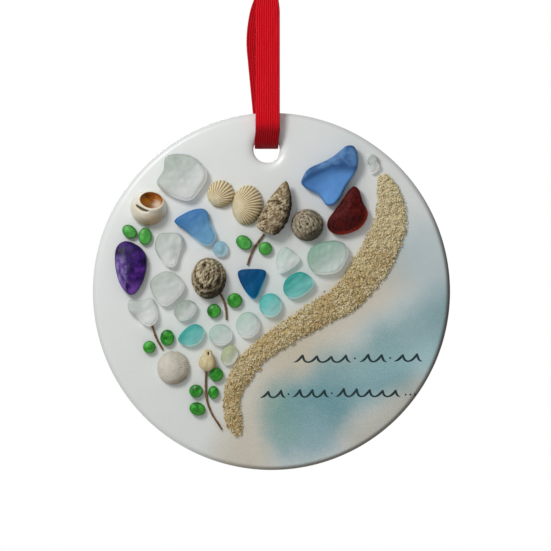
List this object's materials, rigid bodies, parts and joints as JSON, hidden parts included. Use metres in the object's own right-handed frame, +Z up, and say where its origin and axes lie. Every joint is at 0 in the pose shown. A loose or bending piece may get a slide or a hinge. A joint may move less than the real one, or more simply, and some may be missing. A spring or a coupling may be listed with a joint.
{
  "type": "christmas ornament",
  "caption": "Round ceramic hanging ornament with a relief picture of sea glass, shells, leaves and sand on its face, on a knotted loop of flat ribbon through a hole near the rim.",
  "frame": {"origin": "the hanging point inside the ribbon loop, just under the knot", "axes": "+Z up along the hanging ribbon, -Y out of the decorated face, +X to the right of a person who looks at the face"},
  "size_m": [0.076, 0.0122, 0.1254],
  "materials": {
    "glazed_white_ceramic": "gloss glaze with a soft blue and beige wash",
    "red_ribbon": "fine woven ribbon with lengthwise ribs",
    "clear_sea_glass": "frosted",
    "pale_green_sea_glass": "frosted",
    "aqua_sea_glass": "frosted",
    "pale_blue_sea_glass": "frosted",
    "cornflower_sea_glass": "frosted",
    "cobalt_sea_glass": "frosted",
    "deep_blue_sea_glass": "frosted",
    "purple_glass": "polished, mottled",
    "red_sea_glass": "frosted, pitted",
    "leaf_glass": "satin",
    "cream_shell": "matt, ribbed",
    "brown_shell": "rough, weathered",
    "dried_pod": "matt",
    "twig_bark": "matt",
    "dry_sand": "loose grains set in glue"
  },
  "bodies": {
    "hanger": {"ribbon_knot": "red_ribbon", "ribbon_tail_left": "red_ribbon", "ribbon_tail_right": "red_ribbon"},
    "ribbon": {"ribbon_loop": "red_ribbon"},
    "disc": {"ceramic_disc": "glazed_white_ceramic", "glass_clear_large": "clear_sea_glass", "glass_cornflower": "cornflower_sea_glass", "glass_clear_upper": "clear_sea_glass", "glass_purple": "purple_glass", "glass_clear_middle": "clear_sea_glass", "glass_petal": "clear_sea_glass", "glass_clear_small": "clear_sea_glass", "glass_aqua_leaf": "aqua_sea_glass", "glass_aqua_drop": "aqua_sea_glass", "glass_deep_blue": "deep_blue_sea_glass", "glass_pale_green_small": "pale_green_sea_glass", "glass_pale_green_large": "pale_green_sea_glass", "glass_cobalt": "cobalt_sea_glass", "glass_red": "red_sea_glass", "glass_pale_blue": "pale_blue_sea_glass", "glass_pale_round": "pale_green_sea_glass", "glass_pale_egg": "pale_green_sea_glass", "glass_pale_leaf": "pale_green_sea_glass", "glass_aqua_round": "aqua_sea_glass", "glass_flake": "clear_sea_glass", "leaf_01": "leaf_glass", "leaf_02": "leaf_glass", "leaf_03": "leaf_glass", "leaf_04": "leaf_glass", "leaf_05": "leaf_glass", "leaf_06": "leaf_glass", "leaf_07": "leaf_glass", "leaf_08": "leaf_glass", "leaf_09": "leaf_glass", "leaf_10": "leaf_glass", "leaf_11": "leaf_glass", "leaf_12": "leaf_glass", "scallop_small": "cream_shell", "scallop_large": "cream_shell", "clam_shell": "cream_shell", "moon_snail": "cream_shell", "periwinkle": "brown_shell", "top_shell": "brown_shell", "spire_shell": "brown_shell", "seed_pod": "dried_pod", "stem_spire": "twig_bark", "stem_top_shell": "twig_bark", "stem_petal": "twig_bark", "stem_pod": "twig_bark", "sand_band": "dry_sand"}
  },
  "joints": [
    {"name": "ribbon_twist", "type": "hinge", "parent": "hanger", "child": "ribbon", "pos_m": [0, 0, 0.001], "axis": [0, 0, 1], "range_deg": [-90, 90]},
    {"name": "disc_swing", "type": "hinge", "parent": "ribbon", "child": "disc", "pos_m": [0, -0.00056, -0.035], "axis": [1, 0, 0], "range_deg": [-12, 12]}
  ]
}
